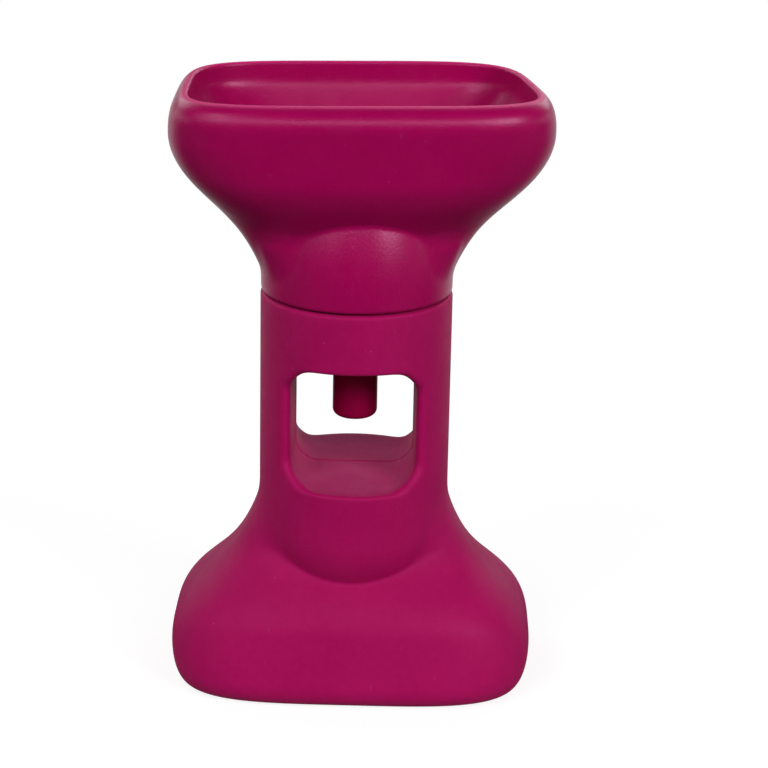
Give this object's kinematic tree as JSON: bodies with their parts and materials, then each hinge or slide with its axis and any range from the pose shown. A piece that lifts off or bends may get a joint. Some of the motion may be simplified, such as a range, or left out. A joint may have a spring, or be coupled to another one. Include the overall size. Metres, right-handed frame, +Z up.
{
  "type": "chew holder",
  "caption": "Dog-bone rubber holder for chew sticks: a screw-on upper end drives a pin into a slot through the round shank and clamps the chew.",
  "frame": {"origin": "middle of the foot's rim, on the surface it stands on", "axes": "+Z up along the shank and the screw, +Y along the slot from front to back, +X along the foot's width"},
  "size_m": [0.0781, 0.0542, 0.1281],
  "materials": {
    "rubber": "matt moulded rubber",
    "nylon": "satin moulded nylon"
  },
  "bodies": {
    "base": {"base_body": "rubber", "thread_sleeve": "nylon"},
    "pin": {"clamp_pin": "nylon"},
    "head": {"head_body": "rubber", "screw_stud": "nylon"}
  },
  "joints": [
    {"name": "clamp_travel", "type": "slide", "parent": "base", "child": "pin", "axis": [0, 0, 1], "range_m": [0, 0.009]},
    {"name": "head_turn", "type": "hinge", "parent": "pin", "child": "head", "pos_m": [0, 0, 0.085], "axis": [0, 0, 1], "range_deg": [0, 900]}
  ],
  "couplings": [
    {"joint": "clamp_travel", "follows": "head_turn", "m_per_rad": 0.00057295}
  ]
}
